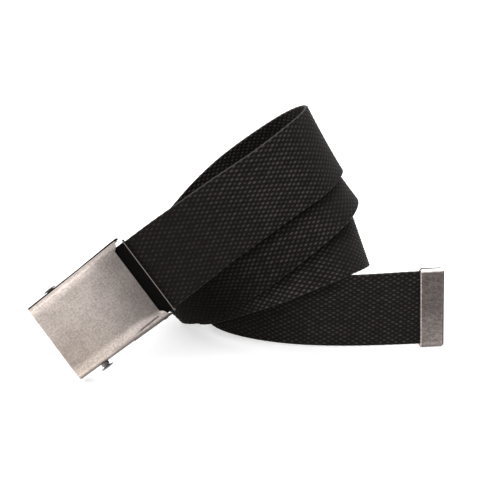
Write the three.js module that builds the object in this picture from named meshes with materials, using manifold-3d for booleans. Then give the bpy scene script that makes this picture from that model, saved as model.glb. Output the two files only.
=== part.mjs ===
// Canvas web belt, loosely rolled in three telescoped turns and stood on its edge,
// with a sheet-metal slide buckle at the outer end and a metal tip on the free end.
// Millimetres, +Z up. The rolled belt stands on z = 0; +X runs along the drawn-out free end.
import * as THREE from 'three';
import * as BufferGeometryUtils from 'three/addons/utils/BufferGeometryUtils.js';
import Module from 'manifold-3d';

const wasm = await Module();
wasm.setup();

// ---------------------------------------------------------------- driving sizes
const WEB_WIDTH = 38.0;          // nominal 38 mm (1.5 in) strap
const WEB_THICK = 1.9;
const WEB_EDGE_ROUND = 0.55;     // how far in from the selvedge the section starts to round
const WEB_STEPS = 5;             // sections of the strap between two rows of the table

const PLATE_LENGTH = 47.7;       // face of the buckle, along the belt
const PLATE_WIDTH = 40.6;        // outside of the two flanges, at the free end
const FLARE = 0.95;              // each flange stands this much further out at the face's right edge
const SHEET = 0.8;
const BEND_RADIUS = 3.2;
const FLANGE_DEPTH = 9.0;
const FACE_GAP = 5.9;            // from the web's first visible section back to the face's right edge
const EAR_LENGTH = 3.8;          // flange ears past the face's right edge
const EAR_PROUD = 0.25;          // ears are pressed this much outward
const LUG_START = 16.2;          // from the middle to where the face's right edge turns into the lug
const LUG_LENGTH = 2.7;
const EAR_DROP = 1.0;            // ears are this much deeper than the flanges
const EAR_RUN = 21.8;            // stretch of flange with the ear's depth
const WEB_BELOW_FACE = 5.5;      // web's middle under the outer face of the plate

const SLOT_FROM_END = 12.6;      // bar's axis from the buckle's free end, at rest
const SLOT_DEPTH = 5.9;          // bar's axis under the outer face
const SLIDE_RANGE = 6.0;         // travel of the bar towards the clamp
const BAR_RADIUS = 1.9;
const SLOT_CLEARANCE = 0.3;      // all round the bar in its slots
const BAR_SHIFT = -0.82;         // the bar has dropped this far across the buckle
const KNOB_REACH = 2.45;         // knob's end past the flange, bar centred
const KNOB_RADIUS = 3.2;
const KNOB_THICK = 0.95;
const KNOB_NECK = 1.45;          // neck ring under the head

const CLAMP_LENGTH = 7.2;        // along the belt
const CLAMP_WIDTH = 38.2;        // between the flanges
const CLAMP_JAW = 0.8;           // thickness of the front jaw
const CLAMP_BACK_JAW = 1.0;
const CLAMP_LIP = 0.8;           // thickness of the lip at the web's side
const LIP_WIDTH = 40.2;
const LIP_FRONT = 2.75;          // lip's reach from the web's middle, towards the face
const LIP_BACK = 2.6;
const WEB_GRIP = 4.6;            // length of web held inside the clamp
const WEB_CLEARANCE = 0.3;
const PIN_RADIUS = 0.95;
const PIN_FROM_END = 1.2;        // pin's axis from the clamp's inner end
const PIN_CLEARANCE = 0.3;

const TIP_LENGTH = 11.6;
const TIP_HEIGHT = 39.8;
const TIP_THICK = 4.8;
const TIP_CORNER = 1.8;
const TIP_BEVEL = 0.55;
const TIP_LEAN = 0.049;          // the tip's sides lean back by this much per mm of height
const TIP_WALL = 1.3;            // closed end
const TIP_CLEARANCE = 0.32;
const WEB_IN_TIP = 10.0;         // straight run of the strap up to the tip's closed end
const WEB_SHORT = 2.3;           // the web stops this far before it, clear of the leaning wall

// Middle line and lean of the strap, from the clamp to the tip, one row at even steps
// along its length. x, y, z in mm; lean is the tilt of the upper edge away from the
// middle of the roll, in degrees. Each run is a wall or a fold of a turn.
const STRAP_TABLE = [
  { run: 'front wall 1', x: -41.7, y: -20.9, z: 45.2, lean: -26.7 },
  { run: 'front wall 1', x: -29.8, y: -17.5, z: 53.5, lean: -17.0 },
  { run: 'front wall 1', x: -17.7, y: -14.8, z: 62.1, lean: -7.0 },
  { run: 'front wall 1', x: -3.7, y: -12.1, z: 71.8, lean: -4.5 },
  { run: 'front wall 1', x: 13.5, y: -7.4, z: 82.8, lean: -6.6 },
  { run: 'front wall 1', x: 29.2, y: 2.6, z: 91.7, lean: -19.8 },
  { run: 'right fold 1', x: 38.1, y: 16.0, z: 95.8, lean: -26.0 },
  { run: 'right fold 1', x: 39.0, y: 31.7, z: 94.8, lean: -30.5 },
  { run: 'right fold 1', x: 29.5, y: 49.3, z: 86.3, lean: -32.6 },
  { run: 'back wall 1', x: 10.7, y: 63.7, z: 69.3, lean: -22.5 },
  { run: 'back wall 1', x: -9.9, y: 67.9, z: 48.8, lean: 8.2 },
  { run: 'back wall 1', x: -25.7, y: 61.0, z: 33.3, lean: 17.2 },
  { run: 'back wall 1', x: -36.2, y: 51.3, z: 22.7, lean: 28.6 },
  { run: 'left fold 1', x: -41.6, y: 40.3, z: 16.6, lean: 37.9 },
  { run: 'left fold 1', x: -42.3, y: 28.2, z: 14.6, lean: 40.5 },
  { run: 'left fold 1', x: -38.6, y: 16.7, z: 16.4, lean: 41.3 },
  { run: 'front wall 2', x: -31.6, y: 6.7, z: 21.4, lean: 35.9 },
  { run: 'front wall 2', x: -22.3, y: -1.2, z: 29.1, lean: 25.2 },
  { run: 'front wall 2', x: -8.1, y: -7.3, z: 41.2, lean: 11.5 },
  { run: 'front wall 2', x: 16.2, y: -6.6, z: 60.9, lean: -28.1 },
  { run: 'front wall 2', x: 43.4, y: 14.8, z: 78.1, lean: -34.7 },
  { run: 'right fold 2', x: 41.2, y: 44.5, z: 74.2, lean: -34.2 },
  { run: 'right fold 2', x: 23.2, y: 57.7, z: 58.1, lean: -11.6 },
  { run: 'right fold 2', x: 10.6, y: 60.2, z: 47.3, lean: 6.4 },
  { run: 'back wall 2', x: 2.7, y: 59.8, z: 40.8, lean: 13.3 },
  { run: 'back wall 2', x: -3.3, y: 58.8, z: 35.9, lean: 16.8 },
  { run: 'back wall 2', x: -10.0, y: 56.9, z: 30.8, lean: 20.1 },
  { run: 'back wall 2', x: -18.7, y: 52.9, z: 24.4, lean: 25.3 },
  { run: 'left fold 2', x: -27.4, y: 44.8, z: 18.7, lean: 32.3 },
  { run: 'left fold 2', x: -31.6, y: 32.3, z: 16.6, lean: 32.9 },
  { run: 'left fold 2', x: -28.8, y: 19.5, z: 19.0, lean: 24.4 },
  { run: 'front wall 3', x: -21.3, y: 10.5, z: 23.9, lean: 15.0 },
  { run: 'front wall 3', x: -14.0, y: 5.3, z: 28.5, lean: 10.1 },
  { run: 'front wall 3', x: -9.2, y: 2.5, z: 31.3, lean: 7.5 },
  { run: 'front wall 3', x: -6.0, y: 0.8, z: 33.3, lean: 5.6 },
  { run: 'front wall 3', x: -2.7, y: -0.8, z: 35.2, lean: 3.6 },
  { run: 'right fold 3', x: 2.1, y: -2.9, z: 38.0, lean: 0.4 },
  { run: 'right fold 3', x: 12.3, y: -6.3, z: 43.7, lean: -9.1 },
  { run: 'right fold 3', x: 33.9, y: -5.6, z: 53.0, lean: -29.7 },
  { run: 'back wall 3', x: 55.6, y: 16.5, z: 53.5, lean: -22.9 },
  { run: 'back wall 3', x: 44.4, y: 40.9, z: 40.7, lean: 5.2 },
  { run: 'back wall 3', x: 21.4, y: 49.0, z: 30.6, lean: 16.3 },
  { run: 'back wall 3', x: 4.3, y: 48.9, z: 25.6, lean: 14.7 },
  { run: 'left fold 3', x: -8.7, y: 43.2, z: 23.0, lean: 9.9 },
  { run: 'left fold 3', x: -16.2, y: 30.1, z: 21.8, lean: 1.8 },
  { run: 'left fold 3', x: -7.7, y: 11.3, z: 20.7, lean: 0.8 },
  { run: 'free end', x: 29.9, y: -1.8, z: 19.0, lean: 4.8 },
  { run: 'free end', x: 75.5, y: -0.2, z: 19.0, lean: 0.4 },
  { run: 'free end', x: 89.0, y: 1.3, z: 19.0, lean: 0.0 },
  { run: 'free end', x: 92.9, y: 1.8, z: 19.0, lean: 0.0 },
  { run: 'free end', x: 95.4, y: 2.0, z: 19.0, lean: 0.0 },
  { run: 'free end', x: 97.1, y: 2.2, z: 19.0, lean: 0.0 },
];

// Buckle box against the strap's first section: how far it sits across the web (mm) and
// how far it is swung about the clamp's pins (degrees)
const BUCKLE_POSE = { across: 0.8, hinge: -3.1 };
// Moves the whole so that the box of the object is centred on x = y = 0 and stands on z = 0
const FRAME_SHIFT = { x: -0.850, y: -14.487, z: 0.981 };

const COLOURS = {
  web: 0x1d1a1a, plate: 0xaaa29c, clamp: 0x171514, bar: 0x3f3b39, tip: 0x80776f,
};

// ---------------------------------------------------------------- helpers
const V = (x, y, z) => new THREE.Vector3(x, y, z);

// values of a natural cubic spline through evenly spaced rows, with its slope
function naturalSpline(values) {
  const n = values.length;
  const m = new Array(n).fill(0), c = new Array(n).fill(0), d = new Array(n).fill(0);
  for (let i = 1; i < n - 1; i++) {
    const rhs = 6 * (values[i + 1] - 2 * values[i] + values[i - 1]);
    const w = 4 - c[i - 1];
    c[i] = 1 / w;
    d[i] = (rhs - d[i - 1]) / w;
  }
  for (let i = n - 2; i > 0; i--) m[i] = d[i] - c[i] * m[i + 1];
  return (u) => {
    const i = Math.min(n - 2, Math.max(0, Math.floor(u)));
    const b = u - i, a = 1 - b;
    const value = a * values[i] + b * values[i + 1]
      + ((a * a * a - a) * m[i] + (b * b * b - b) * m[i + 1]) / 6;
    const slope = values[i + 1] - values[i]
      + (-(3 * a * a - 1) * m[i] + (3 * b * b - 1) * m[i + 1]) / 6;
    return [value, slope];
  };
}

const ROWS = STRAP_TABLE.length - 1;
const spline = ['x', 'y', 'z', 'lean'].map((key) => naturalSpline(STRAP_TABLE.map((row) => row[key])));

// middle point, direction T, width direction W and outward normal N of the strap at row u
function strapFrame(u) {
  const [x, y, z, lean] = spline.map((f) => f(u));
  const t = V(x[1], y[1], z[1]).normalize();
  const up = V(0, 0, 1).addScaledVector(t, -t.z).normalize();
  const side = t.clone().cross(up);
  const a = THREE.MathUtils.degToRad(lean[0]);
  const w = up.multiplyScalar(Math.cos(a)).addScaledVector(side, Math.sin(a));
  return { c: V(x[0], y[0], z[0]), t, w, n: t.clone().cross(w) };
}

// the row at which the strap enters its tip: its last stretch is straight from there
function rowBeforeEnd(length) {
  let u = ROWS, left = length;
  const step = 1 / 64;
  while (left > 0) {
    left -= strapFrame(u).c.distanceTo(strapFrame(u - step).c);
    u -= step;
  }
  return u;
}
const LAST_ROW = rowBeforeEnd(WEB_IN_TIP);

function toSolid(geometry) {
  const g = geometry.clone();
  g.deleteAttribute('normal');
  g.deleteAttribute('uv');
  const merged = BufferGeometryUtils.mergeVertices(g.index ? g : g, 1e-5);
  return new wasm.Manifold(new wasm.Mesh({
    numProp: 3,
    vertProperties: new Float32Array(merged.attributes.position.array),
    triVerts: new Uint32Array(merged.index.array),
  }));
}

function toGeometry(solid) {
  const mesh = solid.getMesh();
  const g = new THREE.BufferGeometry();
  g.setAttribute('position', new THREE.BufferAttribute(new Float32Array(mesh.vertProperties), 3));
  g.setIndex(new THREE.BufferAttribute(new Uint32Array(mesh.triVerts), 1));
  g.computeVertexNormals();
  return g;
}

const union = (...s) => s.slice(1).reduce((a, b) => a.add(b), s[0]);
const cut = (s, ...tools) => tools.reduce((a, b) => a.subtract(b), s);

// box from its two corners
function box(x0, x1, y0, y1, z0, z1) {
  return new THREE.BoxGeometry(x1 - x0, y1 - y0, z1 - z0)
    .translate((x0 + x1) / 2, (y0 + y1) / 2, (z0 + z1) / 2);
}

// rod along Y
function rod(radius, x, z, y0, y1, sides = 24) {
  return new THREE.CylinderGeometry(radius, radius, y1 - y0, sides).translate(x, (y0 + y1) / 2, z);
}

// outline drawn in (y, z) and run along X from x0 to x1
function runAlongX(shape, x0, x1, curveSegments = 8) {
  const g = new THREE.ExtrudeGeometry(shape, { depth: x1 - x0, bevelEnabled: false, curveSegments });
  g.applyMatrix4(new THREE.Matrix4().makeBasis(V(0, 1, 0), V(0, 0, 1), V(1, 0, 0)));
  return g.translate(x0, 0, 0);
}

// outline drawn in (x, z) and run along Y from y0 to y1
function runAlongY(shape, y0, y1, curveSegments = 8) {
  const g = new THREE.ExtrudeGeometry(shape, { depth: y1 - y0, bevelEnabled: false, curveSegments });
  g.applyMatrix4(new THREE.Matrix4().makeBasis(V(1, 0, 0), V(0, 0, 1), V(0, -1, 0)));
  return g.translate(0, y1, 0);
}

function node(name, geometry, colour, roughness, metalness) {
  const material = new THREE.MeshStandardMaterial({ color: colour, roughness, metalness });
  const mesh = new THREE.Mesh(geometry, material);
  mesh.name = name;
  return mesh;
}

// ---------------------------------------------------------------- strap
// The strap is one strip: a section with rounded selvedges carried along the table's line.
function buildWeb() {
  const half = WEB_WIDTH / 2, th = WEB_THICK / 2, r = WEB_EDGE_ROUND;
  const section = [
    [half, th - r], [half - r * 0.35, th - r * 0.2], [half - r, th], [-half + r, th],
    [-half + r * 0.35, th - r * 0.2], [-half, th - r],
    [-half, -th + r], [-half + r * 0.35, -th + r * 0.2], [-half + r, -th], [half - r, -th],
    [half - r * 0.35, -th + r * 0.2], [half, -th + r],
  ];
  const rows = Math.round(LAST_ROW * WEB_STEPS);
  const positions = [], index = [];
  const first = strapFrame(0);
  const put = (c, w, n) => {
    for (const [a, b] of section) {
      const p = c.clone().addScaledVector(w, a).addScaledVector(n, b);
      positions.push(p.x, p.y, p.z);
    }
  };
  // the stretch that the clamp holds runs straight on from the first section
  put(first.c.clone().addScaledVector(first.t, -WEB_GRIP), first.w, first.n);
  for (let i = 0; i <= rows; i++) {
    const f = strapFrame(i * LAST_ROW / rows);
    put(f.c, f.w, f.n);
  }
  const final = strapFrame(LAST_ROW);
  put(final.c.clone().addScaledVector(final.t, WEB_IN_TIP - WEB_SHORT), final.w, final.n);
  const k = section.length, sections = rows + 3;
  for (let i = 0; i < sections - 1; i++) {
    for (let j = 0; j < k; j++) {
      const a = i * k + j, b = i * k + (j + 1) % k, c = a + k, d = b + k;
      index.push(a, c, b, b, c, d);
    }
  }
  const last = (sections - 1) * k;
  for (let j = 1; j < k - 1; j++) {
    index.push(0, j, j + 1);
    index.push(last, last + j + 1, last + j);
  }
  const g = new THREE.BufferGeometry();
  g.setAttribute('position', new THREE.Float32BufferAttribute(positions, 3));
  g.setIndex(index);
  // faces outward
  const e = g.attributes.position, tri = (n) => V(e.getX(index[n]), e.getY(index[n]), e.getZ(index[n]));
  let volume = 0;
  for (let i = 0; i < index.length; i += 3) volume += tri(i).dot(tri(i + 1).cross(tri(i + 2))) / 6;
  if (volume < 0) for (let i = 0; i < index.length; i += 3) [index[i], index[i + 1]] = [index[i + 1], index[i]];
  g.setIndex(index);
  g.computeVertexNormals();
  return g;
}

// ---------------------------------------------------------------- buckle
// Its own frame: x towards the strap, y across, z out of the face; the face is z = 0.
const FACE_RIGHT = -FACE_GAP;
const FACE_LEFT = FACE_RIGHT - PLATE_LENGTH;
const HALF = PLATE_WIDTH / 2;
const BAR_X = FACE_LEFT + SLOT_FROM_END;
const PIN_X = -CLAMP_LENGTH + PIN_FROM_END;

function buildPlate() {
  const r = BEND_RADIUS, t = SHEET;
  const s = new THREE.Shape();
  s.moveTo(HALF, -FLANGE_DEPTH);
  s.lineTo(HALF, -r);
  s.absarc(HALF - r, -r, r, 0, Math.PI / 2, false);
  s.lineTo(-HALF + r, 0);
  s.absarc(-HALF + r, -r, r, Math.PI / 2, Math.PI, false);
  s.lineTo(-HALF, -FLANGE_DEPTH);
  s.lineTo(-HALF + t, -FLANGE_DEPTH);
  s.lineTo(-HALF + t, -r);
  s.absarc(-HALF + r, -r, r - t, Math.PI, Math.PI / 2, true);
  s.lineTo(HALF - r, -t);
  s.absarc(HALF - r, -r, r - t, Math.PI / 2, 0, true);
  s.lineTo(HALF - t, -FLANGE_DEPTH);
  let plate = toSolid(runAlongX(s, FACE_LEFT, FACE_RIGHT + LUG_LENGTH, 8));
  // ears: each flange runs on past the face, a little deeper, with a round end
  const ear = new THREE.Shape();
  const x0 = FACE_RIGHT + EAR_LENGTH - EAR_RUN, x1 = FACE_RIGHT + EAR_LENGTH;
  const top = -1.9, bottom = -FLANGE_DEPTH - EAR_DROP, c = 1.6;
  ear.moveTo(x0, -6.5);
  ear.lineTo(x0 + 0.8, bottom);
  ear.lineTo(x1 - c, bottom);
  ear.absarc(x1 - c, bottom + c, c, -Math.PI / 2, 0, false);
  ear.lineTo(x1, top - c);
  ear.absarc(x1 - c, top - c, c, 0, Math.PI / 2, false);
  ear.lineTo(FACE_RIGHT - 1.5, top);
  ear.lineTo(x0 + 2, -5.5);
  for (const [a, b] of [[HALF - t, HALF + EAR_PROUD], [-HALF - EAR_PROUD, -HALF + t]]) {
    plate = plate.add(toSolid(runAlongY(ear, a, b, 6)));
  }
  // slots for the bar, pin holes, and the rounded back corners at the free end
  const slot = new THREE.Shape();
  const q = BAR_RADIUS + SLOT_CLEARANCE;
  slot.moveTo(BAR_X, -SLOT_DEPTH - q);
  slot.lineTo(BAR_X + SLIDE_RANGE, -SLOT_DEPTH - q);
  slot.absarc(BAR_X + SLIDE_RANGE, -SLOT_DEPTH, q, -Math.PI / 2, Math.PI / 2, false);
  slot.lineTo(BAR_X, -SLOT_DEPTH + q);
  slot.absarc(BAR_X, -SLOT_DEPTH, q, Math.PI / 2, Math.PI * 1.5, false);
  const corner = new THREE.Shape();
  const k = 3.0;
  corner.moveTo(FACE_LEFT - 1, -FLANGE_DEPTH - 1);
  corner.lineTo(FACE_LEFT + k, -FLANGE_DEPTH - 1);
  corner.lineTo(FACE_LEFT + k, -FLANGE_DEPTH);
  corner.absarc(FACE_LEFT + k, -FLANGE_DEPTH + k, k, -Math.PI / 2, -Math.PI, true);
  corner.lineTo(FACE_LEFT - 1, -FLANGE_DEPTH + k);
  plate = cut(
    plate,
    toSolid(runAlongY(slot, -HALF - 5, HALF + 5, 10)),
    toSolid(rod(PIN_RADIUS + PIN_CLEARANCE, PIN_X, -WEB_BELOW_FACE, -HALF - 5, HALF + 5, 20)),
    toSolid(runAlongY(corner, -HALF - 5, HALF + 5, 8)),
  );
  // past the face's right edge only the two bends go on, as slanted lugs over the ears
  const lug = new THREE.Shape();
  const yl = HALF - 0.35;
  lug.moveTo(FACE_RIGHT, -LUG_START);
  lug.quadraticCurveTo(FACE_RIGHT + LUG_LENGTH * 0.8, -LUG_START - 0.8, FACE_RIGHT + LUG_LENGTH, -yl);
  lug.lineTo(FACE_RIGHT + LUG_LENGTH + 2, -yl);
  lug.lineTo(FACE_RIGHT + LUG_LENGTH + 2, yl);
  lug.lineTo(FACE_RIGHT + LUG_LENGTH, yl);
  lug.quadraticCurveTo(FACE_RIGHT + LUG_LENGTH * 0.8, LUG_START + 0.8, FACE_RIGHT, LUG_START);
  const between = new THREE.ExtrudeGeometry(lug, { depth: FLANGE_DEPTH + 4, bevelEnabled: false, curveSegments: 5 })
    .translate(0, 0, -FLANGE_DEPTH - 2);
  plate = cut(plate, toSolid(between));
  // the box opens a little towards the clamp: its width grows along x
  const g = toGeometry(plate);
  const p = g.attributes.position;
  for (let i = 0; i < p.count; i++) {
    p.setY(i, p.getY(i) * (1 + (FLARE / HALF) * (p.getX(i) - FACE_LEFT) / PLATE_LENGTH));
  }
  g.computeVertexNormals();
  return g;
}

// one bar with a turned knob at each end
function buildBar() {
  const R = BAR_RADIUS, end = HALF + KNOB_REACH, K = KNOB_RADIUS;
  const half = [
    [0, 0], [R, 0], [R, HALF + 0.75], [KNOB_NECK, HALF + 0.88], [KNOB_NECK, HALF + 1.15],
    [R, HALF + 1.28], [R, end - KNOB_THICK - 0.1], [K * 0.86, end - KNOB_THICK],
    [K, end - KNOB_THICK + 0.14], [K, end - KNOB_THICK + 0.34], [K * 0.9, end - 0.36],
    [K * 0.66, end - 0.14], [K * 0.35, end - 0.03], [0, end],
  ];
  const profile = [
    ...half.slice(1).reverse().map(([r, y]) => new THREE.Vector2(r, -y)),
    ...half.slice(2).map(([r, y]) => new THREE.Vector2(r, y)),
  ];
  const g = new THREE.LatheGeometry(profile, 28);
  return toGeometry(toSolid(g.translate(BAR_X, BAR_SHIFT, -SLOT_DEPTH)));
}

// The clamp's frame is the strap's first section: x along it, z out of the roll. Two jaws
// joined behind the web's end, a lip round the mouth, and a pin at each side.
function buildClamp() {
  const h = CLAMP_WIDTH / 2, l = LIP_WIDTH / 2, ht = WEB_THICK / 2 + WEB_CLEARANCE;
  const pinEnd = HALF + FLARE + EAR_PROUD + 0.25;
  const s = union(
    toSolid(box(-CLAMP_LENGTH, -CLAMP_LIP + 0.1, -h, h, -ht - CLAMP_BACK_JAW, ht + CLAMP_JAW)),
    toSolid(box(-CLAMP_LIP, 0, -l, l, -LIP_BACK, LIP_FRONT)),
    toSolid(rod(PIN_RADIUS, PIN_X, 0, BUCKLE_POSE.across - pinEnd, BUCKLE_POSE.across + pinEnd, 20)),
  );
  const ends = toSolid(box(-CLAMP_LIP - 1, 1, -WEB_WIDTH / 2 - WEB_CLEARANCE, WEB_WIDTH / 2 + WEB_CLEARANCE, -ht, ht));
  const sides = toSolid(box(-WEB_GRIP - WEB_CLEARANCE, -CLAMP_LIP, -h - 1, h + 1, -ht, ht));
  return toGeometry(cut(s, ends, sides));
}

// ---------------------------------------------------------------- end tip
// Frame: the strap's last section; x along the strap, y across it, z out of the roll.
function buildTip() {
  const x0 = -TIP_LENGTH + TIP_WALL + TIP_CLEARANCE, x1 = TIP_WALL + TIP_CLEARANCE;
  const h = TIP_HEIGHT / 2 - TIP_BEVEL, b = TIP_BEVEL, c = TIP_CORNER - b;
  const s = new THREE.Shape();
  s.moveTo(x0 + b, -h);
  s.lineTo(x1 - b - c, -h);
  s.absarc(x1 - b - c, -h + c, c, -Math.PI / 2, 0, false);
  s.lineTo(x1 - b, h - 0.5);
  s.lineTo(x1 - b - 0.5, h);
  s.lineTo(x0 + b + 0.9, h);
  s.lineTo(x0 + b, h - 0.9);
  const g = new THREE.ExtrudeGeometry(s, {
    depth: TIP_THICK - 2 * b, bevelEnabled: true, bevelThickness: b, bevelSize: b,
    bevelSegments: 3, curveSegments: 6,
  });
  g.translate(0, 0, -TIP_THICK / 2 + b);
  const hw = WEB_WIDTH / 2 + TIP_CLEARANCE, ht = WEB_THICK / 2 + TIP_CLEARANCE;
  const tip = toGeometry(toSolid(g).subtract(toSolid(box(x0 - 1, TIP_CLEARANCE, -hw, hw, -ht, ht))));
  const p = tip.attributes.position;
  for (let i = 0; i < p.count; i++) p.setX(i, p.getX(i) - TIP_LEAN * (p.getY(i) + TIP_HEIGHT / 2));
  tip.computeVertexNormals();
  return tip;
}

// ---------------------------------------------------------------- assembly
const belt = new THREE.Group();
const start = strapFrame(0), end = strapFrame(LAST_ROW);
const turn = (f) => new THREE.Matrix4().makeBasis(f.t, f.w, f.n);

const clampFrame = turn(start).setPosition(start.c);
const rad = THREE.MathUtils.degToRad;
// the box swings about the pins' axis, which lies in the web's plane at x = PIN_X
const plateFrame = turn(start).setPosition(start.c)
  .multiply(new THREE.Matrix4().makeTranslation(PIN_X, BUCKLE_POSE.across, 0))
  .multiply(new THREE.Matrix4().makeRotationY(rad(BUCKLE_POSE.hinge)))
  .multiply(new THREE.Matrix4().makeTranslation(-PIN_X, 0, WEB_BELOW_FACE));
// the tip stands square on the table
const level = end.t.clone().setZ(0).normalize(), up = V(0, 0, 1);
const tipFrame = new THREE.Matrix4().makeBasis(level, up, level.clone().cross(up))
  .setPosition(end.c.clone().addScaledVector(end.t, WEB_IN_TIP));

function place(mesh, matrix) {
  matrix.decompose(mesh.position, mesh.quaternion, mesh.scale);
  belt.add(mesh);
  return mesh;
}

belt.add(node('web', buildWeb(), COLOURS.web, 0.92, 0));
place(node('buckle_plate', buildPlate(), COLOURS.plate, 0.42, 1), plateFrame);
place(node('roller_bar', buildBar(), COLOURS.bar, 0.25, 1), plateFrame);
place(node('clamp', buildClamp(), COLOURS.clamp, 0.4, 1), clampFrame);
place(node('tip', buildTip(), COLOURS.tip, 0.42, 1), tipFrame);
belt.position.set(FRAME_SHIFT.x, FRAME_SHIFT.y, FRAME_SHIFT.z);

export default belt;
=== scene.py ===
import bpy, math
import numpy as np
from mathutils import Matrix, Vector


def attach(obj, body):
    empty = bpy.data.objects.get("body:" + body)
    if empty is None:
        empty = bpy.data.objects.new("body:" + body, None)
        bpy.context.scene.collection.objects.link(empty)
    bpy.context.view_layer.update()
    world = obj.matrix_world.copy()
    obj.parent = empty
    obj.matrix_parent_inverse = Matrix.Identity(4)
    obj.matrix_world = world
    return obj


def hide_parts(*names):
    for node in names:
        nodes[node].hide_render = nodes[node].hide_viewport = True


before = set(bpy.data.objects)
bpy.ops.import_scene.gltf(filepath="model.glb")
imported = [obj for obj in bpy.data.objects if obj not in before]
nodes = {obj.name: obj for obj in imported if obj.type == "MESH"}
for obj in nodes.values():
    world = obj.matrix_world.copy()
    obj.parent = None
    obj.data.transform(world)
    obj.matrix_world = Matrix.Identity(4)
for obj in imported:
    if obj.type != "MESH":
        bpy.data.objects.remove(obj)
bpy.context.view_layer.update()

scene = bpy.context.scene
MM = 0.001

# ------------------------------------------------------------------ camera
# The photograph's view: 20.5 degrees above the horizon, 600 mm from the roll, long lens.
SHIFT = np.array([-0.850, -14.487, 0.981])
ELEVATION = math.radians(20.476)
DISTANCE = 600.0
FOCAL_PX, FRAME_PX = 2.12 * 600.0, 481.0
eye = np.array([0.0, -DISTANCE * math.cos(ELEVATION), 54.0 + DISTANCE * math.sin(ELEVATION)]) + SHIFT
cam_data = bpy.data.cameras.new("camera")
cam_data.sensor_width = 36.0
cam_data.sensor_fit = "HORIZONTAL"
cam_data.lens = 36.0 * FOCAL_PX / FRAME_PX
cam_data.clip_start, cam_data.clip_end = 0.01, 50.0
cam = bpy.data.objects.new("camera", cam_data)
cam.location = Vector(eye * MM)
cam.rotation_euler = (math.pi / 2 - ELEVATION, 0.0, 0.0)
scene.collection.objects.link(cam)
scene.camera = cam

# ------------------------------------------------------------------ strap: the line
WEB_WIDTH, WEB_THICK = 38.0, 1.9
WEB_GRIP = 4.6          # held in the clamp, before the first row
WEB_IN_TIP = 10.0       # straight, up to the tip's closed end
WEB_SHORT = 2.3         # the web stops this far before it
STRAP_TABLE = [  # x, y, z in mm, lean in degrees, as in the model's own table
    (-41.7, -20.9, 45.2, -26.7),  # front wall 1
    (-29.8, -17.5, 53.5, -17.0),  # front wall 1
    (-17.7, -14.8, 62.1, -7.0),  # front wall 1
    (-3.7, -12.1, 71.8, -4.5),  # front wall 1
    (13.5, -7.4, 82.8, -6.6),  # front wall 1
    (29.2, 2.6, 91.7, -19.8),  # front wall 1
    (38.1, 16.0, 95.8, -26.0),  # right fold 1
    (39.0, 31.7, 94.8, -30.5),  # right fold 1
    (29.5, 49.3, 86.3, -32.6),  # right fold 1
    (10.7, 63.7, 69.3, -22.5),  # back wall 1
    (-9.9, 67.9, 48.8, 8.2),  # back wall 1
    (-25.7, 61.0, 33.3, 17.2),  # back wall 1
    (-36.2, 51.3, 22.7, 28.6),  # back wall 1
    (-41.6, 40.3, 16.6, 37.9),  # left fold 1
    (-42.3, 28.2, 14.6, 40.5),  # left fold 1
    (-38.6, 16.7, 16.4, 41.3),  # left fold 1
    (-31.6, 6.7, 21.4, 35.9),  # front wall 2
    (-22.3, -1.2, 29.1, 25.2),  # front wall 2
    (-8.1, -7.3, 41.2, 11.5),  # front wall 2
    (16.2, -6.6, 60.9, -28.1),  # front wall 2
    (43.4, 14.8, 78.1, -34.7),  # front wall 2
    (41.2, 44.5, 74.2, -34.2),  # right fold 2
    (23.2, 57.7, 58.1, -11.6),  # right fold 2
    (10.6, 60.2, 47.3, 6.4),  # right fold 2
    (2.7, 59.8, 40.8, 13.3),  # back wall 2
    (-3.3, 58.8, 35.9, 16.8),  # back wall 2
    (-10.0, 56.9, 30.8, 20.1),  # back wall 2
    (-18.7, 52.9, 24.4, 25.3),  # back wall 2
    (-27.4, 44.8, 18.7, 32.3),  # left fold 2
    (-31.6, 32.3, 16.6, 32.9),  # left fold 2
    (-28.8, 19.5, 19.0, 24.4),  # left fold 2
    (-21.3, 10.5, 23.9, 15.0),  # front wall 3
    (-14.0, 5.3, 28.5, 10.1),  # front wall 3
    (-9.2, 2.5, 31.3, 7.5),  # front wall 3
    (-6.0, 0.8, 33.3, 5.6),  # front wall 3
    (-2.7, -0.8, 35.2, 3.6),  # front wall 3
    (2.1, -2.9, 38.0, 0.4),  # right fold 3
    (12.3, -6.3, 43.7, -9.1),  # right fold 3
    (33.9, -5.6, 53.0, -29.7),  # right fold 3
    (55.6, 16.5, 53.5, -22.9),  # back wall 3
    (44.4, 40.9, 40.7, 5.2),  # back wall 3
    (21.4, 49.0, 30.6, 16.3),  # back wall 3
    (4.3, 48.9, 25.6, 14.7),  # back wall 3
    (-8.7, 43.2, 23.0, 9.9),  # left fold 3
    (-16.2, 30.1, 21.8, 1.8),  # left fold 3
    (-7.7, 11.3, 20.7, 0.8),  # left fold 3
    (29.9, -1.8, 19.0, 4.8),  # free end
    (75.5, -0.2, 19.0, 0.4),  # free end
    (89.0, 1.3, 19.0, 0.0),  # free end
    (92.9, 1.8, 19.0, 0.0),  # free end
    (95.4, 2.0, 19.0, 0.0),  # free end
    (97.1, 2.2, 19.0, 0.0),  # free end
]
TABLE = np.array([[r[0] + SHIFT[0], r[1] + SHIFT[1], r[2] + SHIFT[2], r[3]] for r in STRAP_TABLE])


def natural_spline(y):
    """Second derivatives of a natural cubic spline through evenly spaced rows."""
    n = len(y)
    m = np.zeros_like(y)
    a = np.zeros((n - 2, n - 2))
    for i in range(n - 2):
        a[i, i] = 4
        if i:
            a[i, i - 1] = a[i - 1, i] = 1
    m[1:-1] = np.linalg.solve(a, 6 * (y[2:] - 2 * y[1:-1] + y[:-2]))
    return m


SECOND = natural_spline(TABLE)


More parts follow.
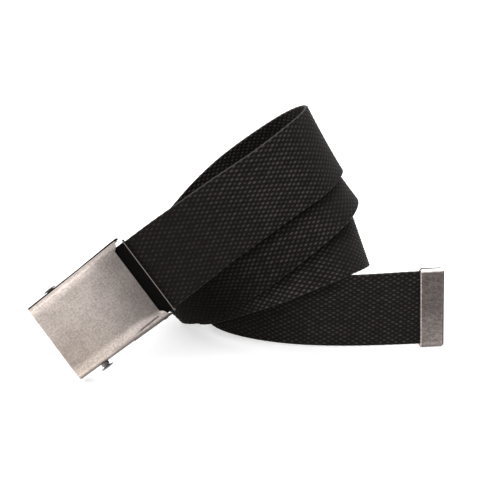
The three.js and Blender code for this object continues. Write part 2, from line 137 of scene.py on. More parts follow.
def at_rows(u):
    i = np.clip(np.floor(u).astype(int), 0, len(TABLE) - 2)
    b = (u - i)[:, None]
    a = 1 - b
    y0, y1, m0, m1 = TABLE[i], TABLE[i + 1], SECOND[i], SECOND[i + 1]
    value = a * y0 + b * y1 + ((a**3 - a) * m0 + (b**3 - b) * m1) / 6
    slope = y1 - y0 + (-(3 * a * a - 1) * m0 + (3 * b * b - 1) * m1) / 6
    return value, slope


def unit(v):
    return v / np.linalg.norm(v, axis=-1, keepdims=True)


def strap_frames(u):
    """Middle point, direction, width direction and outward normal at rows u."""
    v, d = at_rows(u)
    t = unit(d[:, :3])
    up = np.array([0.0, 0.0, 1.0])
    w0 = unit(up - t * t[:, 2:3])
    n0 = np.cross(t, w0)
    a = np.radians(v[:, 3])[:, None]
    w = np.cos(a) * w0 + np.sin(a) * n0
    return v[:, :3], t, w, np.cross(t, w)


# arc length along the table's line
_u = np.linspace(0, len(TABLE) - 1, 6001)
_c = strap_frames(_u)[0]
_s = np.concatenate([[0], np.cumsum(np.linalg.norm(np.diff(_c, axis=0), axis=1))])
STRAP_RUN = _s[-1]
LAST = STRAP_RUN - WEB_IN_TIP


def frames_at(s):
    """Frames at arc lengths s (mm), straight before the first row and in the tip."""
    u = np.interp(np.clip(s, 0, LAST), _s, _u)
    c, t, w, n = strap_frames(u)
    c = c + t * (np.minimum(s, 0) + np.maximum(s - LAST, 0))[:, None]
    return c, t, w, n


# ------------------------------------------------------------------ strap: the weave
YARNS = 32                      # warp cords side by side, each a ridge along the strap
PITCH = WEB_WIDTH / YARNS       # 1.19 mm
WEFT = 1.92                     # length of one float: its top and its dip fall on the sections
TOP, DIP, GROOVE = 0.95, 0.76, 0.68


def strap_mesh():
    stop = STRAP_RUN - WEB_SHORT
    s = np.concatenate([[-WEB_GRIP], np.arange(-2 * WEFT, stop - 0.4, WEFT), [stop]])
    c, t, w, n = frames_at(s)
    k = 2 * YARNS
    v = np.linspace(-WEB_WIDTH / 2, WEB_WIDTH / 2, k + 1)
    v[0], v[-1] = v[0] + 0.22, v[-1] - 0.22
    cord = np.arange(k + 1) // 2
    centre = np.arange(k + 1) % 2 == 1
    wave = np.cos(math.pi * s[:, None] / WEFT + math.pi * cord[None, :])
    rng = np.random.default_rng(7)
    loose = rng.normal(0, 0.022, wave.shape)            # hand-scale unevenness of the floats
    mid, amp = (TOP + DIP) / 2, (TOP - DIP) / 2
    front = np.where(centre, mid + amp * wave + loose, GROOVE + 0 * wave)
    back = np.where(centre, mid - amp * wave + loose, GROOVE + 0 * wave)
    # the selvedges: the weft turns back round the outer cord at each float
    ripple = np.cos(math.pi * s / WEFT)
    for j, sign in ((0, 1), (k, -1)):
        front[:, j] = 0.56 + 0.05 * ripple * sign
        back[:, j] = 0.56 - 0.05 * ripple * sign
    edge = WEB_WIDTH / 2 + 0.06 * ripple - 0.05
    offs_v, offs_n, uv_s, uv_v = [], [], [], []
    for j in range(k, -1, -1):
        offs_v.append(np.full(len(s), v[j])); offs_n.append(front[:, j]); uv_s.append(s); uv_v.append(v[j])
    for h in (0.24, -0.24):
        offs_v.append(-edge); offs_n.append(np.full(len(s), h)); uv_s.append(s); uv_v.append(-19.0 - (0.24 - h))
    for j in range(k + 1):
        offs_v.append(np.full(len(s), v[j])); offs_n.append(-back[:, j]); uv_s.append(s + WEFT); uv_v.append(v[j])
    for h in (-0.24, 0.24):
        offs_v.append(edge); offs_n.append(np.full(len(s), h)); uv_s.append(s + WEFT); uv_v.append(19.0 + (h + 0.24))
    m = len(offs_v)
    a, b = np.array(offs_v).T, np.array(offs_n).T         # sections x points
    pts = c[:, None] + a[..., None] * w[:, None] + b[..., None] * n[:, None]
    verts = (pts * MM).reshape(-1, 3)
    R = len(s)
    i, j = np.meshgrid(np.arange(R - 1), np.arange(m), indexing="ij")
    j2 = (j + 1) % m
    quads = np.stack([i * m + j, i * m + j2, (i + 1) * m + j2, (i + 1) * m + j], -1).reshape(-1, 4)
    mesh = bpy.data.meshes.new("web_visual")
    faces = quads.tolist() + [list(range(m))[::-1], [(R - 1) * m + q for q in range(m)]]
    mesh.from_pydata(verts.tolist(), [], faces)
    # strip coordinates in millimetres: along the strap, and across it
    us, uvv = np.array(uv_s).T, np.array(uv_v)
    side = np.array([0] * (k + 1) + [1] * 2 + [2] * (k + 1) + [3] * 2)
    U = np.zeros((len(quads), 4, 2))
    ii, jj, jj2 = i.reshape(-1), j.reshape(-1), j2.reshape(-1)
    # a face takes its along value from its first point's side, so no face straddles the two sides
    along = us[ii, jj]
    U[:, 0, 0] = along; U[:, 1, 0] = along
    after = us[ii + 1, jj]
    U[:, 2, 0] = after; U[:, 3, 0] = after
    va, vb = uvv[jj], uvv[jj2]
    near = np.abs(va - vb) < 4
    vb = np.where(near, vb, va)
    U[:, 0, 1] = va; U[:, 1, 1] = vb; U[:, 2, 1] = vb; U[:, 3, 1] = va
    flat = np.concatenate([U.reshape(-1), np.zeros(2 * m * 2)])
    layer = mesh.uv_layers.new(name="strip")
    layer.data.foreach_set("uv", flat.astype(np.float32))
    mesh.polygons.foreach_set("use_smooth", [True] * len(quads) + [False, False])
    mesh.update()
    return mesh


# ------------------------------------------------------------------ node helpers
class Nodes:
    """A short way to write a node tree."""

    def __init__(self, name):
        self.mat = bpy.data.materials.new(name)
        self.mat.use_nodes = True
        self.t = self.mat.node_tree
        self.t.nodes.clear()
        self.out = self.t.nodes.new("ShaderNodeOutputMaterial")
        self.bsdf = self.t.nodes.new("ShaderNodeBsdfPrincipled")
        self.t.links.new(self.bsdf.outputs[0], self.out.inputs[0])

    def add(self, kind, **props):
        n = self.t.nodes.new(kind)
        for key, value in props.items():
            setattr(n, key, value)
        return n

    def link(self, a, b):
        self.t.links.new(a, b)

    def put(self, socket, value):
        if isinstance(value, (int, float)):
            socket.default_value = value
        elif isinstance(value, (tuple, list)):
            socket.default_value = value
        else:
            self.t.links.new(value, socket)

    def math(self, op, a, b=0.0, c=0.0, clamp=False):
        n = self.add("ShaderNodeMath", operation=op, use_clamp=clamp)
        self.put(n.inputs[0], a)
        self.put(n.inputs[1], b)
        self.put(n.inputs[2], c)
        return n.outputs[0]

    def xyz(self, x, y, z=0.0):
        n = self.add("ShaderNodeCombineXYZ")
        for s, v in zip(n.inputs, (x, y, z)):
            self.put(s, v)
        return n.outputs[0]

    def noise(self, vector, scale, detail=2.0, rough=0.5, w=None):
        n = self.add("ShaderNodeTexNoise")
        self.link(vector, n.inputs["Vector"])
        n.inputs["Scale"].default_value = scale
        n.inputs["Detail"].default_value = detail
        n.inputs["Roughness"].default_value = rough
        return n.outputs["Fac"]

    def stretched(self, vector, scale):
        n = self.add("ShaderNodeMapping", vector_type="POINT")
        self.link(vector, n.inputs["Vector"])
        n.inputs["Scale"].default_value = scale
        return n.outputs[0]

    def white(self, vector):
        n = self.add("ShaderNodeTexWhiteNoise", noise_dimensions="3D")
        self.link(vector, n.inputs["Vector"])
        return n.outputs["Value"]

    def ramp(self, value, lo, hi, out_lo=0.0, out_hi=1.0, smooth=True):
        n = self.add("ShaderNodeMapRange", interpolation_type="SMOOTHSTEP" if smooth else "LINEAR")
        self.put(n.inputs["Value"], value)
        for key, v in (("From Min", lo), ("From Max", hi), ("To Min", out_lo), ("To Max", out_hi)):
            n.inputs[key].default_value = v
        return n.outputs["Result"]

    def mix(self, factor, a, b, mode="MIX"):
        n = self.add("ShaderNodeMix", data_type="RGBA", blend_type=mode)
        self.put(n.inputs[0], factor)
        self.put(n.inputs[6], a)
        self.put(n.inputs[7], b)
        return n.outputs[2]

    def painted_shade_coat(self, factor, colour):
        """Covers the metal where factor is 1 with a dull dark diffuse coat: painted shade for edges that look dark."""
        d = self.add("ShaderNodeBsdfDiffuse")
        speck = self.noise(self.add("ShaderNodeTexCoord").outputs["Object"], 1500.0, 3.0, 0.6)
        self.link(self.mix(speck, rgb(*[c * 0.6 for c in colour]), rgb(*[c * 1.4 for c in colour])), d.inputs["Color"])
        ms = self.add("ShaderNodeMixShader")
        self.put(ms.inputs[0], factor)
        self.link(self.bsdf.outputs[0], ms.inputs[1])
        self.link(d.outputs[0], ms.inputs[2])
        self.link(ms.outputs[0], self.out.inputs[0])

    def bump(self, height, distance, strength=1.0, normal=None):
        n = self.add("ShaderNodeBump")
        n.inputs["Strength"].default_value = strength
        n.inputs["Distance"].default_value = distance
        self.link(height, n.inputs["Height"])
        if normal is not None:
            self.link(normal, n.inputs["Normal"])
        return n.outputs["Normal"]


def rgb(r, g, b):
    return (r, g, b, 1.0)


# ------------------------------------------------------------------ the pieces' own frames
PIN_X, ACROSS, HINGE, BELOW_FACE = -6.0, 0.8, math.radians(-3.1), 5.5
FACE_LEFT, FACE_LENGTH, HALF, FLARE = -53.6, 47.7, 20.3, 0.95
_c0, _t0, _w0, _n0 = (a[0] for a in frames_at(np.array([0.0])))
_x1 = math.cos(HINGE) * _t0 - math.sin(HINGE) * _n0
_z1 = math.sin(HINGE) * _t0 + math.cos(HINGE) * _n0
_o1 = _c0 + PIN_X * _t0 + ACROSS * _w0 + BELOW_FACE * _z1 - PIN_X * _x1
PLATE_FRAME = (_o1, _x1, _w0, _z1)
CLAMP_FRAME = (_c0, _t0, _w0, _n0)
_ce, _te = (a[0] for a in frames_at(np.array([LAST]))[:2])
_te = unit(np.array([_te[0], _te[1], 0.0]))
TIP_FRAME = (_ce + _te * WEB_IN_TIP, _te, np.array([0.0, 0.0, 1.0]), np.cross(_te, [0.0, 0.0, 1.0]))


def frame_coords(m, obj, fr):
    """Coordinates in millimetres in a piece's own frame, as three sockets."""
    o, x, y, z = fr
    M = Matrix(((x[0], y[0], z[0], o[0] * MM), (x[1], y[1], z[1], o[1] * MM), (x[2], y[2], z[2], o[2] * MM), (0, 0, 0, 1)))
    local = M.inverted() @ obj.matrix_world
    loc, rot, _ = local.decompose()
    mp = m.add("ShaderNodeMapping", vector_type="POINT")
    m.link(m.add("ShaderNodeTexCoord").outputs["Object"], mp.inputs["Vector"])
    mp.inputs["Location"].default_value = loc / MM
    mp.inputs["Rotation"].default_value = rot.to_euler()
    mp.inputs["Scale"].default_value = (1 / MM, 1 / MM, 1 / MM)
    sep = m.add("ShaderNodeSeparateXYZ")
    m.link(mp.outputs[0], sep.inputs[0])
    return sep.outputs[0], sep.outputs[1], sep.outputs[2], mp.outputs[0]


# ------------------------------------------------------------------ materials
def web_material():
    m = Nodes("web_canvas")
    uv = m.add("ShaderNodeUVMap", uv_map="strip").outputs[0]
    sep = m.add("ShaderNodeSeparateXYZ")
    m.link(uv, sep.inputs[0])
    s, v = sep.outputs[0], sep.outputs[1]
    # the yarns wander a little
    wander = m.math("MULTIPLY", m.math("SUBTRACT", m.noise(m.xyz(m.math("MULTIPLY", s, 0.09), m.math("MULTIPLY", v, 0.09)), 1.0, 2.0), 0.5), 0.5)
    jitter = m.math("MULTIPLY", m.math("SUBTRACT", m.noise(m.xyz(s, v), 0.5, 2.0), 0.5), 0.55)
    y = m.math("DIVIDE", m.math("ADD", v, m.math("ADD", WEB_WIDTH / 2, m.math("MULTIPLY", wander, 0.3))), PITCH)
    j = m.math("FLOOR", y)
    f = m.math("SUBTRACT", y, j)
    # cord's round back across its width, and its rise and dip along the strap
    g = m.math("SUBTRACT", m.math("MULTIPLY", f, 2.0), 1.0)
    round_ = m.math("SUBTRACT", 1.0, m.math("POWER", m.math("ABSOLUTE", g), 2.4))
    phase = m.math("MULTIPLY", m.math("ADD", m.math("DIVIDE", m.math("ADD", s, m.math("ADD", wander, jitter)), WEFT), j), math.pi)
    wave = m.math("MULTIPLY_ADD", m.math("COSINE", phase), 0.5, 0.5)
    rise = m.math("POWER", wave, 3.2)
    weave = m.math("MULTIPLY", round_, m.math("MULTIPLY_ADD", rise, 0.94, 0.06))
    # the twist of the cord: fine slanting fibres
    fibre_v = m.xyz(m.math("MULTIPLY_ADD", s, 1.1, m.math("MULTIPLY", f, 1.6)), m.math("MULTIPLY", v, 5.5), j)
    fibre = m.noise(fibre_v, 2.4, 3.0, 0.65)
    # one value per float
    cell = m.math("FLOOR", m.math("MULTIPLY_ADD", phase, 0.5 / math.pi, 0.5))
    each = m.white(m.xyz(cell, j))
    big = m.noise(m.xyz(m.math("MULTIPLY", s, 0.02), m.math("MULTIPLY", v, 0.05)), 2.2, 3.0, 0.6)
    mid = m.noise(m.xyz(m.math("MULTIPLY", s, 0.5), m.math("MULTIPLY", v, 0.5)), 0.35, 3.0, 0.6)
    dust = m.noise(m.xyz(s, v), 0.55, 4.0, 0.7)
    edge = m.ramp(m.math("ABSOLUTE", v), 18.5, 18.95)
    tone = m.math("MULTIPLY", weave, m.math("MULTIPLY_ADD", each, 0.90, m.math("MULTIPLY_ADD", fibre, 0.45, 0.24)))
    tone = m.math("MULTIPLY", tone, m.math("MULTIPLY_ADD", big, 0.5, m.math("MULTIPLY_ADD", mid, 0.5, 0.5)), clamp=True)
    # less relief and a more even grey where the strap bends sharply: painted sheen on the folds seen at a grazing
    # angle, and painted shade by the clamp
    calm = 0.0
    for lo, up, down, end, amount in CALM_TABLE:
        band = m.math("MULTIPLY", m.ramp(s, lo, up), m.ramp(s, down, end, amount, 0.0))
        calm = m.math("MAXIMUM", calm, band)
    even_grey = m.math("MULTIPLY_ADD", fibre, 0.16, m.math("MULTIPLY_ADD", mid, 0.12, 0.04))
    tone = m.math("ADD", m.math("MULTIPLY", tone, m.math("SUBTRACT", 1.0, calm)), m.math("MULTIPLY", even_grey, calm))
    # painted shade along the strap
    shade = 0.0
    for lo, up, down, end, amount in SHADE_TABLE:
        band = m.math("MULTIPLY", m.ramp(s, lo, up), m.ramp(s, down, end, amount, 0.0))
        shade = m.math("MAXIMUM", shade, band)
    # painted shade, blacker where the next turn lies over it
    for s0, v0, s1, v1, amount in OVER_TABLE:
        edge_v = m.ramp(s, s0, s1, v0, v1, smooth=False)
        under = m.math("MULTIPLY", m.ramp(m.math("SUBTRACT", v, edge_v), -8.5, -0.3), m.ramp(s, s0 - 14, s0, 0.0, amount))
        shade = m.math("MAXIMUM", shade, m.math("MULTIPLY", under, m.ramp(s, s1, s1 + 12, 1.0, 0.0)))
    tone = m.math("MULTIPLY", tone, m.math("SUBTRACT", 1.0, shade))
    colour = m.mix(tone, rgb(*WEB_GAP), rgb(*WEB_TOP))
    # the selvedges' lighter weft turns, with a painted highlight making the upper edge lighter than the lower
    rim = m.math("MULTIPLY", edge, m.ramp(v, 0.0, 1.0, 0.35, 1.0))
    colour = m.mix(m.math("MULTIPLY", rim, m.math("MULTIPLY_ADD", fibre, 0.5, 0.55)), colour, rgb(*WEB_RIM))
    colour = m.mix(m.math("MULTIPLY", m.ramp(dust, 0.66, 0.84), 0.10), colour, rgb(0.06, 0.055, 0.05))
    m.link(colour, m.bsdf.inputs["Base Color"])
    m.link(m.math("MULTIPLY_ADD", weave, -0.16, m.math("MULTIPLY_ADD", fibre, 0.12, 0.70)), m.bsdf.inputs["Roughness"])
    # less specular and sheen where shade is painted
    m.link(m.math("MULTIPLY_ADD", shade, -0.095, 0.10), m.bsdf.inputs["Specular IOR Level"])
    m.link(m.math("MULTIPLY_ADD", shade, -0.02, 0.02), m.bsdf.inputs["Sheen Weight"])
    m.bsdf.inputs["Sheen Roughness"].default_value = 0.4
    m.bsdf.inputs["Sheen Tint"].default_value = rgb(0.62, 0.56, 0.54)
    height = m.math("MULTIPLY", weave, m.math("SUBTRACT", 1.0, m.math("MULTIPLY", edge, 0.8)))
    loops = m.math("MULTIPLY", m.math("MULTIPLY_ADD", m.math("COSINE", m.math("MULTIPLY", s, math.pi / WEFT)), 0.5, 0.5), edge)
    height = m.math("MULTIPLY_ADD", loops, 0.5, height)
    n1 = m.bump(height, 0.00040, 0.9)
    n2 = m.bump(fibre, 0.00010, 0.8, n1)
    m.link(n2, m.bsdf.inputs["Normal"])
    return m.mat


# WEB_RIM is the selvedge colour, which also carries the upper edge's painted highlight
WEB_GAP, WEB_TOP, WEB_RIM = (0.0030, 0.0022, 0.0019), (0.062, 0.053, 0.051), (0.058, 0.051, 0.050)
CALM_TABLE = [  # along the strap in mm: starts, full, full until, ends, how much
    (-10, -6, 18, 62, 0.55),    # by the clamp
    (82, 106, 124, 142, 0.80),  # right fold 1
    (376, 400, 420, 438, 0.75),  # right fold 2
    (634, 656, 670, 688, 0.70),  # right fold 3
    (262, 278, 302, 330, 0.60),  # left fold 1
    (538, 554, 574, 600, 0.60),  # left fold 2
    (768, 782, 802, 832, 0.50),  # left fold 3
    (808, 832, 900, 910, 0.25),  # free end
]
OVER_TABLE = [  # along mm, across mm, along, across: the line where the turn above begins; how much painted shade
    (314, 0.3, 402, 1.0, 0.62),
    (586, -13.0, 612, -8.0, 0.50),
    (612, -8.0, 656, 3.0, 0.55),
    (802, -9.0, 846, 14.0, 0.50),
]
SHADE_TABLE = [  # the same columns: painted shade, deepest in the creases that lie inward
    (-10, -6, 20, 84, 0.30),
    (132, 150, 262, 280, 0.25),
    (264, 282, 312, 384, 0.80),
    (540, 556, 580, 616, 0.62),
    (770, 784, 812, 856, 0.62),
    (806, 836, 900, 910, 0.14),
    (430, 446, 540, 556, 0.25),
]


def satin(m, co, light, dark, rough, grain=1.0, painted_light_gain=None, rough_var=0.10, bump=0.000012, spots=0.25, contrast=1.0, warm=None):
    """Satin plated sheet: fine mottled grain, cloudy tone, soft scuffs and tiny pits; the gain, when given, multiplies
    painted light and shade into the colour. co is in millimetres.
    """
    fine = m.noise(co, 2.3 * grain, 4.0, 0.68)
    mottle = m.noise(co, 0.95 * grain, 3.0, 0.62)
    cloud = m.noise(co, 0.12, 3.0, 0.55)
    scuff = m.noise(co, 0.33, 5.0, 0.75)
    tone = m.math("MULTIPLY_ADD", fine, 0.46, m.math("MULTIPLY_ADD", mottle, 0.36, m.math("MULTIPLY", cloud, 0.18)))
    tone = m.ramp(tone, 0.5 - 0.13 / contrast, 0.5 + 0.13 / contrast)
    colour = m.mix(tone, rgb(*dark), rgb(*light))
    pits = m.ramp(scuff, 0.66, 0.78)
    colour = m.mix(m.math("MULTIPLY", pits, spots), colour, rgb(*[c * 0.55 for c in dark]))
    # painted light and shade multiplied into the colour
    if painted_light_gain is not None:
        green, blue = painted_light_gain, painted_light_gain
        if warm is not None:
            green = m.math("MULTIPLY", painted_light_gain, m.math("MULTIPLY_ADD", warm, -0.03, 1.0))
            blue = m.math("MULTIPLY", painted_light_gain, m.math("MULTIPLY_ADD", warm, -0.09, 1.0))
        grey = m.xyz(painted_light_gain, green, blue)
        colour = m.mix(1.0, colour, grey, mode="MULTIPLY")
    m.link(colour, m.bsdf.inputs["Base Color"])
    m.bsdf.inputs["Metallic"].default_value = 1.0
    r = m.math("MULTIPLY_ADD", mottle, rough_var, m.math("MULTIPLY_ADD", cloud, rough_var, rough - rough_var))
    m.link(m.math("MULTIPLY_ADD", pits, 0.12, r), m.bsdf.inputs["Roughness"])
    m.link(m.bump(m.math("MULTIPLY_ADD", mottle, 0.6, fine), bump, 1.0), m.bsdf.inputs["Normal"])
    return colour


def plate_material(obj):
    m = Nodes("brushed_nickel")
    x, y, z, co = frame_coords(m, obj, PLATE_FRAME)
    run = m.math("DIVIDE", m.math("SUBTRACT", x, FACE_LEFT), FACE_LENGTH)      # 0 at the free end, 1 at the clamp
    side = m.math("SUBTRACT", m.math("ABSOLUTE", y), m.math("MULTIPLY", run, FLARE))
    upper = m.ramp(y, -1.0, 1.0)
    lower = m.math("SUBTRACT", 1.0, upper)
    # painted shading: darker towards the clamp and a little brighter on the upper half
    g = m.math("MULTIPLY", m.ramp(run, 0.40, 1.05, 0.71, 0.27), m.ramp(y, -12.0, 14.0, 0.92, 1.13))
    # painted highlight along the upper bend
    top = m.math("MULTIPLY", m.math("MULTIPLY", m.ramp(side, 13.6, 17.2), m.ramp(run, 0.55, 0.92, 0.40, 0.08)), upper)
    g = m.math("ADD", g, m.math("MULTIPLY", top, m.ramp(side, 17.5, 18.4, 1.0, 0.0)))
    g = m.math("MULTIPLY_ADD", m.math("MULTIPLY", m.ramp(side, 17.6, 18.4), m.ramp(run, 0.5, 0.9, 0.0, 0.16)), upper, g)
    # and a painted highlight along the lower one
    low = m.math("MULTIPLY", m.ramp(m.math("MULTIPLY_ADD", m.ramp(run, 0.80, 0.95), -1.6, side), 13.0, 16.2), lower)
    g = m.math("MULTIPLY_ADD", low, m.ramp(run, 0.45, 0.75, 0.34, 0.46), g)
    # painted shade along the lower edge, from the middle towards the clamp
    dip = m.math("MULTIPLY", m.ramp(side, 17.4, 18.6), m.math("MULTIPLY", m.ramp(run, 0.28, 0.52), lower))
    g = m.math("MULTIPLY", g, m.math("MULTIPLY_ADD", dip, -0.36, 1.0))
    # painted shade: the outer part of the bends and the flanges are darkened, the upper one under a dark coat
    outer_up = m.math("MULTIPLY", m.ramp(m.math("MULTIPLY_ADD", run, -0.38, side), 19.25, 19.5), upper)
    outer_up = m.math("MULTIPLY", outer_up, m.math("MAXIMUM", m.ramp(z, -4.6, -3.4), m.ramp(run, 0.54, 0.58)))
    outer_low = m.math("MULTIPLY", m.ramp(side, 18.7, 19.7), lower)
    g = m.math("MULTIPLY", g, m.math("MULTIPLY_ADD", outer_low, -0.52, 1.0))
    rim = m.math("MULTIPLY", m.ramp(side, 19.75, 20.05), m.math("MULTIPLY", lower, m.ramp(run, 0.66, 0.72, 0.62, 0.25)))
    g = m.math("MULTIPLY", g, m.math("SUBTRACT", 1.0, rim))
    # painted shade for a narrow groove beside the lug, and a painted highlight strip under it
    line = m.math("MULTIPLY_ADD", run, -2.3, 19.85)
    groove = m.math("MULTIPLY", m.ramp(m.math("ABSOLUTE", m.math("SUBTRACT", side, line)), 0.12, 0.62, 1.0, 0.0), lower)
    groove = m.math("MULTIPLY", groove, m.math("MULTIPLY", m.ramp(run, 0.66, 0.78), m.ramp(run, 0.95, 0.985, 1.0, 0.0)))
    g = m.math("MULTIPLY", g, m.math("MULTIPLY_ADD", groove, -0.72, 1.0))
    strip = m.math("MULTIPLY", m.math("MULTIPLY", m.ramp(m.math("SUBTRACT", side, line), 0.35, 0.75), m.ramp(side, 19.2, 19.7, 1.0, 0.0)), m.math("MULTIPLY", lower, m.ramp(run, 0.68, 0.8)))
    g = m.math("MULTIPLY_ADD", strip, 0.14, g)
    tab = m.math("MULTIPLY", m.math("MULTIPLY", m.ramp(run, 0.98, 1.03), lower), m.math("MULTIPLY", m.ramp(side, 14.6, 15.8), m.ramp(side, 17.2, 18.0, 1.0, 0.0)))
    g = m.math("MULTIPLY_ADD", tab, 0.55, g)
    # rubbed arrises: the free end's edge
    worn = m.noise(m.xyz(m.math("MULTIPLY", x, 0.3), m.math("MULTIPLY", y, 0.3), 0.0), 1.0, 3.0, 0.6)
    g = m.math("MULTIPLY_ADD", m.math("MULTIPLY", m.ramp(run, 0.0, 0.022, 1.0, 0.0), m.ramp(worn, 0.3, 0.6)), 0.16, g)
    # painted shade on the flanges' back edges
    inner = m.ramp(z, -9.6, -9.3, 0.5, 1.0)
    g = m.math("MULTIPLY", g, inner)
    satin(m, co, PLATE_LIGHT, PLATE_DARK, 0.44, painted_light_gain=g, contrast=1.9, warm=m.math("MULTIPLY", m.ramp(run, 0.0, 0.75, 1.0, 0.0), m.ramp(y, -12.0, 8.0, 1.0, 0.25)))
    m.painted_shade_coat(outer_up, (0.012, 0.011, 0.010))
    return m.mat


PLATE_LIGHT, PLATE_DARK = (0.74, 0.655, 0.61), (0.50, 0.435, 0.405)


def tip_material(obj):
    m = Nodes("tip_nickel")
    x, y, z, co = frame_coords(m, obj, TIP_FRAME)
    x = m.math("ADD", x, m.math("MULTIPLY_ADD", y, TIP_LEAN, TIP_LEAN * TIP_HALF - TIP_END))   # 0 at the closed end
    n = m.add("ShaderNodeSeparateXYZ")
    m.link(m.add("ShaderNodeNewGeometry").outputs["Normal"], n.inputs[0])
    up = m.ramp(n.outputs[2], 0.55, 0.8)
    left = m.ramp(x, -TIP_LONG + 0.30, -TIP_LONG + 0.75, 1.0, 0.0)
    # painted light: lighter towards the bottom, a painted highlight band near the lower edge and a little lighter near
    # the top
    low = m.ramp(y, -20.0, 6.0, 1.0, 0.0)
    g = m.math("MULTIPLY_ADD", low, 0.95, 0.80)
    g = m.math("MULTIPLY_ADD", m.math("MULTIPLY", m.ramp(y, -19.1, -18.6), m.ramp(y, -17.9, -16.9, 1.0, 0.0)), 0.45, g)
    g = m.math("MULTIPLY_ADD", m.ramp(y, 14.0, 19.0), 0.10, g)
    # brighter on the mouth's edge, in patches
    patches = m.noise(m.xyz(1.0, m.math("MULTIPLY", y, 1.0), 0.0), 0.9, 3.0, 0.7)
    g = m.math("MULTIPLY_ADD", m.math("MULTIPLY", left, m.ramp(patches, 0.32, 0.6, 0.35, 1.0)), 3.8, g)
    # a faint painted highlight line, then painted shade on the rounded edge at the closed end
    g = m.math("MULTIPLY_ADD", m.math("MULTIPLY", m.ramp(x, -1.35, -1.05), m.ramp(x, -0.85, -0.7, 1.0, 0.0)), 0.35, g)
    g = m.math("MULTIPLY", g, m.ramp(x, -0.82, -0.62, 1.0, 0.22))
    # painted shade along the bottom edge
    g = m.math("MULTIPLY", g, m.ramp(y, -19.75, -19.45, 0.35, 1.0))
    # painted highlight: the top, where it faces up, and its upper edge are brightened; painted shade: its back and end
    # arrises are darkened under a dark coat
    g = m.math("MULTIPLY_ADD", up, 7.0, g)
    g = m.math("MULTIPLY_ADD", m.ramp(y, 18.95, 19.3), 4.0, g)
    rim = m.math("MAXIMUM", m.math("MULTIPLY", m.ramp(z, -0.75, -0.30, 1.0, 0.0), m.ramp(x, -6.5, -1.0, 1.0, 0.86)),
                 m.math("MAXIMUM", m.ramp(x, -0.55, -0.30), m.ramp(x, -TIP_LONG + 0.35, -TIP_LONG + 0.6, 1.0, 0.0)))
    rim = m.math("MULTIPLY", rim, m.ramp(y, 19.0, 19.4))
    rim = m.math("MAXIMUM", rim, m.math("MULTIPLY", m.ramp(x, -0.70, -0.52), m.ramp(y, -18.2, -17.6, 0.4, 1.0)))
    satin(m, m.stretched(co, (0.55, 1.0, 1.0)), TIP_LIGHT, TIP_DARK, 0.42, painted_light_gain=g, rough_var=0.12, spots=0.3, contrast=1.3)
    m.painted_shade_coat(rim, (0.020, 0.018, 0.017))
    return m.mat


TIP_LIGHT, TIP_DARK = (0.158, 0.135, 0.127), (0.078, 0.067, 0.063)
TIP_LONG, TIP_HALF, TIP_THICK, TIP_LEAN, TIP_END = 11.6, 19.9, 4.8, 0.049, 1.62


def bar_material(obj):
    m = Nodes("dark_nickel")
    x, y, z, co = frame_coords(m, obj, PLATE_FRAME)
    satin(m, co, (0.24, 0.225, 0.22), (0.10, 0.095, 0.09), 0.17, rough_var=0.05, spots=0.1)
    return m.mat


def clamp_material(obj):
    m = Nodes("black_enamel")
    x, y, z, co = frame_coords(m, obj, CLAMP_FRAME)
    worn = m.noise(co, 1.6, 4.0, 0.7)
    haze = m.noise(co, 0.2, 3.0, 0.6)
    colour = m.mix(m.ramp(worn, 0.35, 0.75), rgb(0.0016, 0.0013, 0.0012), rgb(0.0045, 0.0038, 0.0035))
    # painted highlight along the lip's front arris, drawn as bare metal; the lip's lower end is lighter too
    arris = m.math("MULTIPLY", m.ramp(x, -0.50, -0.36, 1.0, 0.0), m.math("MULTIPLY", m.ramp(x, -0.9, -0.82), m.ramp(z, 2.25, 2.45)))
    ends = m.math("MULTIPLY", m.ramp(y, -19.6, -18.9, 1.0, 0.0), m.ramp(x, -0.9, -0.82))
    arris_highlight_and_end = m.math("MAXIMUM", arris, m.math("MULTIPLY", ends, 0.6))
    arris_highlight_and_end = m.math("MULTIPLY", arris_highlight_and_end, m.math("MULTIPLY_ADD", worn, 0.6, 0.6), clamp=True)
    colour = m.mix(arris_highlight_and_end, colour, rgb(0.23, 0.20, 0.185))
    m.link(colour, m.bsdf.inputs["Base Color"])
    m.link(m.math("MULTIPLY_ADD", haze, 0.10, m.math("MULTIPLY_ADD", worn, 0.10, 0.34)), m.bsdf.inputs["Roughness"])
    m.link(m.math("MULTIPLY", arris_highlight_and_end, 0.5), m.bsdf.inputs["Metallic"])
    m.bsdf.inputs["Specular IOR Level"].default_value = 0.035
    m.link(m.bump(worn, 0.00002, 1.0), m.bsdf.inputs["Normal"])
    return m.mat


# ------------------------------------------------------------------ pieces
web = bpy.data.objects.new("web_strap", strap_mesh())
web.data.materials.append(web_material())
scene.collection.objects.link(web)
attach(web, "belt")
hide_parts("web")


def dress(node, material, bevel=0.00012, angle=35.0):
    """Gives a carried-over metal piece its finish, with the small rounding its edges have."""
    o = nodes[node]
    o.data.materials.clear()
    o.data.materials.append(material)
    for p in o.data.polygons:
        p.use_smooth = True
    if bevel:
        b = o.modifiers.new("edges", "BEVEL")
        b.width, b.segments, b.limit_method, b.angle_limit = bevel, 2, "ANGLE", math.radians(angle)
        b.harden_normals = True
        b.use_clamp_overlap = True
    return o


dress("buckle_plate", plate_material(nodes["buckle_plate"]), 0.00014)
dress("clamp", clamp_material(nodes["clamp"]), 0.00012)
dress("roller_bar", bar_material(nodes["roller_bar"]), 0.00006)
dress("tip", tip_material(nodes["tip"]), 0.00008)

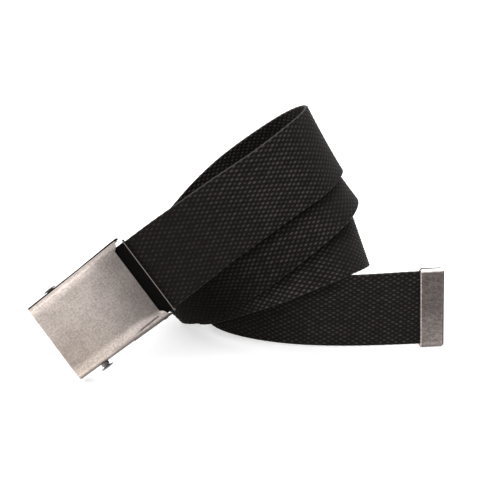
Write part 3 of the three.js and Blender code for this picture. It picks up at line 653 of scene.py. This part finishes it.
# ------------------------------------------------------------------ floor and light
FLOOR_GLOW = 0.53
floor_mesh = bpy.data.meshes.new("floor")
S = 6.0
floor_mesh.from_pydata([(-S, -S, 0), (S, -S, 0), (S, S, 0), (-S, S, 0)], [], [(0, 1, 2, 3)])
floor = bpy.data.objects.new("floor", floor_mesh)
floor.location.z = -0.0002
scene.collection.objects.link(floor)
fm = bpy.data.materials.new("paper")
fm.use_nodes = True
fb = fm.node_tree.nodes["Principled BSDF"]
fb.inputs["Base Color"].default_value = (0.75, 0.75, 0.755, 1)
fb.inputs["Roughness"].default_value = 0.9
fb.inputs["Specular IOR Level"].default_value = 0.1
fb.inputs["Emission Color"].default_value = (1, 1, 1, 1)
fb.inputs["Emission Strength"].default_value = FLOOR_GLOW
floor_mesh.materials.append(fm)

# a pale studio: a bright wall behind the table, a dim room in front and on the right
world = bpy.data.worlds.new("studio")
scene.world = world
world.use_nodes = True
wt = world.node_tree
bg = wt.nodes["Background"]


def wnode(kind, *inputs, **props):
    n = wt.nodes.new(kind)
    for key, value in props.items():
        setattr(n, key, value)
    for i, value in enumerate(inputs):
        if value is None:
            continue
        if isinstance(value, (int, float)):
            n.inputs[i].default_value = value
        else:
            wt.links.new(value, n.inputs[i])
    return n


def wramp(value, lo, hi, a, b):
    return wnode("ShaderNodeMapRange", value, lo, hi, a, b, interpolation_type="SMOOTHSTEP").outputs[0]


def wmath(op, a, b):
    return wnode("ShaderNodeMath", a, b, operation=op).outputs[0]


direction = wnode("ShaderNodeSeparateXYZ", wt.nodes.new("ShaderNodeTexCoord").outputs["Generated"])
dx, dy, dz = direction.outputs
room = wmath("MULTIPLY", wramp(dz, 0.0, 0.9, 0.62, 1.05), wramp(dx, -0.7, 0.7, 1.35, 0.55))
wall = wmath("MULTIPLY", wramp(dy, 0.15, 0.8, 0.0, 1.0), wmath("MULTIPLY", wramp(dz, 0.06, 0.2, 0.0, 1.0), wramp(dz, 0.62, 0.85, 1.0, 0.0)))
wt.links.new(wmath("ADD", room, wmath("MULTIPLY", wall, 1.6)), bg.inputs[1])
bg.inputs[0].default_value = (1.0, 0.995, 0.99, 1)


def sun(name, energy, angle, az, el, colour=(1, 1, 1)):
    """Soft light from azimuth az (0 from the viewer's side, 90 from the right), elevation el."""
    d = bpy.data.lights.new(name, "SUN")
    d.energy, d.angle, d.color = energy, math.radians(angle), colour
    o = bpy.data.objects.new(name, d)
    a, e = math.radians(az), math.radians(el)
    to = Vector((math.sin(a) * math.cos(e), -math.cos(a) * math.cos(e), math.sin(e)))
    o.rotation_euler = to.to_track_quat("Z", "Y").to_euler()
    scene.collection.objects.link(o)
    return o


sun("key", 0.9, 55, -20, 58)

scene.view_settings.view_transform = "Standard"
scene.view_settings.look = "None"
scene.view_settings.exposure = 0.0
scene.view_settings.gamma = 1.0
